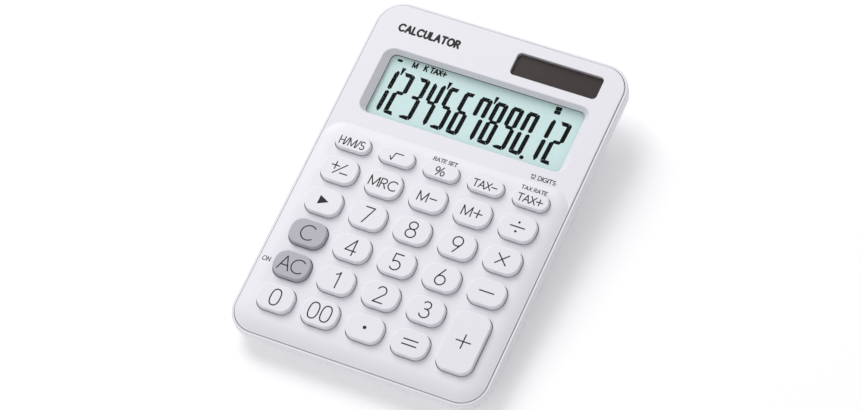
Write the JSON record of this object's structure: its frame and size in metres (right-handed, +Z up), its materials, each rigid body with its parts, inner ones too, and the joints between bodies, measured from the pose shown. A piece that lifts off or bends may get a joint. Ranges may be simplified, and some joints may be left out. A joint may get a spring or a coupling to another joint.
{
  "type": "desk calculator",
  "caption": "Sloping desk calculator with a recessed display, a solar cell and rounded spring keys on a softly raised field.",
  "frame": {"origin": "bottom centre of the bounding box, on the desk plane under the feet", "axes": "+Z up, +Y towards the display end, +X to the user's right"},
  "size_m": [0.105, 0.1498, 0.0226],
  "materials": {
    "case_plastic": "fine moulded satin, cool white",
    "white_key_plastic": "smooth satin, cool white",
    "grey_key_plastic": "smooth satin, mid grey",
    "clear_window": "clear polished acrylic",
    "display_film": "pale green-grey display film",
    "display_glass": "thin display glass",
    "gasket_foam": "black foam",
    "ribbon_film": "heat-seal film",
    "solar_window": "smoked clear plastic",
    "solar_glass": "dark brown amorphous cell on glass",
    "lead_sleeve": "soft lead insulation",
    "board_laminate": "board laminate",
    "black_epoxy": "black epoxy",
    "mat_rubber": "silicone rubber",
    "carbon_rubber": "conductive rubber",
    "screw_steel": "zinc-plated screws",
    "foot_rubber": "grey rubber",
    "cell_steel": "plated cell can",
    "spring_metal": "nickel-plated spring strip"
  },
  "bodies": {
    "case": {"battery_leads": "lead_sleeve", "board_components": "black_epoxy", "board_screws": "screw_steel", "button_cell": "cell_steel", "carbon_pills": "carbon_rubber", "case_screws": "screw_steel", "display_connector": "ribbon_film", "display_gasket": "gasket_foam", "display_reflector": "display_film", "display_window": "clear_window", "front_glass": "display_glass", "front_polariser": "display_film", "key_mat": "mat_rubber", "lower_case": "case_plastic", "lower_contact": "spring_metal", "main_board": "board_laminate", "processor_cover": "black_epoxy", "rear_glass": "display_glass", "rubber_feet": "foot_rubber", "solar_cell": "solar_glass", "solar_leads": "lead_sleeve", "solar_window": "solar_window", "upper_case": "case_plastic", "upper_contact": "spring_metal"},
    "key_0": {"key_0": "white_key_plastic"},
    "key_00": {"key_00": "white_key_plastic"},
    "key_1": {"key_1": "white_key_plastic"},
    "key_2": {"key_2": "white_key_plastic"},
    "key_3": {"key_3": "white_key_plastic"},
    "key_4": {"key_4": "white_key_plastic"},
    "key_5": {"key_5": "white_key_plastic"},
    "key_6": {"key_6": "white_key_plastic"},
    "key_7": {"key_7": "white_key_plastic"},
    "key_8": {"key_8": "white_key_plastic"},
    "key_9": {"key_9": "white_key_plastic"},
    "key_all_clear": {"key_all_clear": "grey_key_plastic"},
    "key_backspace": {"key_backspace": "white_key_plastic"},
    "key_clear": {"key_clear": "grey_key_plastic"},
    "key_divide": {"key_divide": "white_key_plastic"},
    "key_equals": {"key_equals": "white_key_plastic"},
    "key_memory_minus": {"key_memory_minus": "white_key_plastic"},
    "key_memory_plus": {"key_memory_plus": "white_key_plastic"},
    "key_memory_recall": {"key_memory_recall": "white_key_plastic"},
    "key_minus": {"key_minus": "white_key_plastic"},
    "key_percent": {"key_percent": "white_key_plastic"},
    "key_plus": {"key_plus": "white_key_plastic"},
    "key_point": {"key_point": "white_key_plastic"},
    "key_sign": {"key_sign": "white_key_plastic"},
    "key_square_root": {"key_square_root": "white_key_plastic"},
    "key_tax_minus": {"key_tax_minus": "white_key_plastic"},
    "key_tax_plus": {"key_tax_plus": "white_key_plastic"},
    "key_time": {"key_time": "white_key_plastic"},
    "key_times": {"key_times": "white_key_plastic"}
  },
  "joints": [
    {"name": "key_0_press", "type": "slide", "parent": "case", "child": "key_0", "axis": [0, 0.0924, -0.9957], "range_m": [0, 0.0013], "stiffness_N_per_m": 450, "springref_m": -0.0003},
    {"name": "key_00_press", "type": "slide", "parent": "case", "child": "key_00", "axis": [0, 0.0924, -0.9957], "range_m": [0, 0.0013], "stiffness_N_per_m": 450, "springref_m": -0.0003},
    {"name": "key_1_press", "type": "slide", "parent": "case", "child": "key_1", "axis": [0, 0.0924, -0.9957], "range_m": [0, 0.0013], "stiffness_N_per_m": 450, "springref_m": -0.0003},
    {"name": "key_2_press", "type": "slide", "parent": "case", "child": "key_2", "axis": [0, 0.0924, -0.9957], "range_m": [0, 0.0013], "stiffness_N_per_m": 450, "springref_m": -0.0003},
    {"name": "key_3_press", "type": "slide", "parent": "case", "child": "key_3", "axis": [0, 0.0924, -0.9957], "range_m": [0, 0.0013], "stiffness_N_per_m": 450, "springref_m": -0.0003},
    {"name": "key_4_press", "type": "slide", "parent": "case", "child": "key_4", "axis": [0, 0.0924, -0.9957], "range_m": [0, 0.0013], "stiffness_N_per_m": 450, "springref_m": -0.0003},
    {"name": "key_5_press", "type": "slide", "parent": "case", "child": "key_5", "axis": [0, 0.0924, -0.9957], "range_m": [0, 0.0013], "stiffness_N_per_m": 450, "springref_m": -0.0003},
    {"name": "key_6_press", "type": "slide", "parent": "case", "child": "key_6", "axis": [0, 0.0924, -0.9957], "range_m": [0, 0.0013], "stiffness_N_per_m": 450, "springref_m": -0.0003},
    {"name": "key_7_press", "type": "slide", "parent": "case", "child": "key_7", "axis": [0, 0.0924, -0.9957], "range_m": [0, 0.0013], "stiffness_N_per_m": 450, "springref_m": -0.0003},
    {"name": "key_8_press", "type": "slide", "parent": "case", "child": "key_8", "axis": [0, 0.0924, -0.9957], "range_m": [0, 0.0013], "stiffness_N_per_m": 450, "springref_m": -0.0003},
    {"name": "key_9_press", "type": "slide", "parent": "case", "child": "key_9", "axis": [0, 0.0924, -0.9957], "range_m": [0, 0.0013], "stiffness_N_per_m": 450, "springref_m": -0.0003},
    {"name": "key_all_clear_press", "type": "slide", "parent": "case", "child": "key_all_clear", "axis": [0, 0.0924, -0.9957], "range_m": [0, 0.0013], "stiffness_N_per_m": 450, "springref_m": -0.0003},
    {"name": "key_backspace_press", "type": "slide", "parent": "case", "child": "key_backspace", "axis": [0, 0.0924, -0.9957], "range_m": [0, 0.0013], "stiffness_N_per_m": 450, "springref_m": -0.0003},
    {"name": "key_clear_press", "type": "slide", "parent": "case", "child": "key_clear", "axis": [0, 0.0924, -0.9957], "range_m": [0, 0.0013], "stiffness_N_per_m": 450, "springref_m": -0.0003},
    {"name": "key_divide_press", "type": "slide", "parent": "case", "child": "key_divide", "axis": [0, 0.0924, -0.9957], "range_m": [0, 0.0013], "stiffness_N_per_m": 450, "springref_m": -0.0003},
    {"name": "key_equals_press", "type": "slide", "parent": "case", "child": "key_equals", "axis": [0, 0.0924, -0.9957], "range_m": [0, 0.0013], "stiffness_N_per_m": 450, "springref_m": -0.0003},
    {"name": "key_memory_minus_press", "type": "slide", "parent": "case", "child": "key_memory_minus", "axis": [0, 0.0924, -0.9957], "range_m": [0, 0.0013], "stiffness_N_per_m": 450, "springref_m": -0.0003},
    {"name": "key_memory_plus_press", "type": "slide", "parent": "case", "child": "key_memory_plus", "axis": [0, 0.0924, -0.9957], "range_m": [0, 0.0013], "stiffness_N_per_m": 450, "springref_m": -0.0003},
    {"name": "key_memory_recall_press", "type": "slide", "parent": "case", "child": "key_memory_recall", "axis": [0, 0.0924, -0.9957], "range_m": [0, 0.0013], "stiffness_N_per_m": 450, "springref_m": -0.0003},
    {"name": "key_minus_press", "type": "slide", "parent": "case", "child": "key_minus", "axis": [0, 0.0924, -0.9957], "range_m": [0, 0.0013], "stiffness_N_per_m": 450, "springref_m": -0.0003},
    {"name": "key_percent_press", "type": "slide", "parent": "case", "child": "key_percent", "axis": [0, 0.0924, -0.9957], "range_m": [0, 0.0013], "stiffness_N_per_m": 450, "springref_m": -0.0003},
    {"name": "key_plus_press", "type": "slide", "parent": "case", "child": "key_plus", "axis": [0, 0.0924, -0.9957], "range_m": [0, 0.0013], "stiffness_N_per_m": 450, "springref_m": -0.0003},
    {"name": "key_point_press", "type": "slide", "parent": "case", "child": "key_point", "axis": [0, 0.0924, -0.9957], "range_m": [0, 0.0013], "stiffness_N_per_m": 450, "springref_m": -0.0003},
    {"name": "key_sign_press", "type": "slide", "parent": "case", "child": "key_sign", "axis": [0, 0.0924, -0.9957], "range_m": [0, 0.0013], "stiffness_N_per_m": 450, "springref_m": -0.0003},
    {"name": "key_square_root_press", "type": "slide", "parent": "case", "child": "key_square_root", "axis": [0, 0.0924, -0.9957], "range_m": [0, 0.0013], "stiffness_N_per_m": 450, "springref_m": -0.0003},
    {"name": "key_tax_minus_press", "type": "slide", "parent": "case", "child": "key_tax_minus", "axis": [0, 0.0924, -0.9957], "range_m": [0, 0.0013], "stiffness_N_per_m": 450, "springref_m": -0.0003},
    {"name": "key_tax_plus_press", "type": "slide", "parent": "case", "child": "key_tax_plus", "axis": [0, 0.0924, -0.9957], "range_m": [0, 0.0013], "stiffness_N_per_m": 450, "springref_m": -0.0003},
    {"name": "key_time_press", "type": "slide", "parent": "case", "child": "key_time", "axis": [0, 0.0924, -0.9957], "range_m": [0, 0.0013], "stiffness_N_per_m": 450, "springref_m": -0.0003},
    {"name": "key_times_press", "type": "slide", "parent": "case", "child": "key_times", "axis": [0, 0.0924, -0.9957], "range_m": [0, 0.0013], "stiffness_N_per_m": 450, "springref_m": -0.0003}
  ]
}
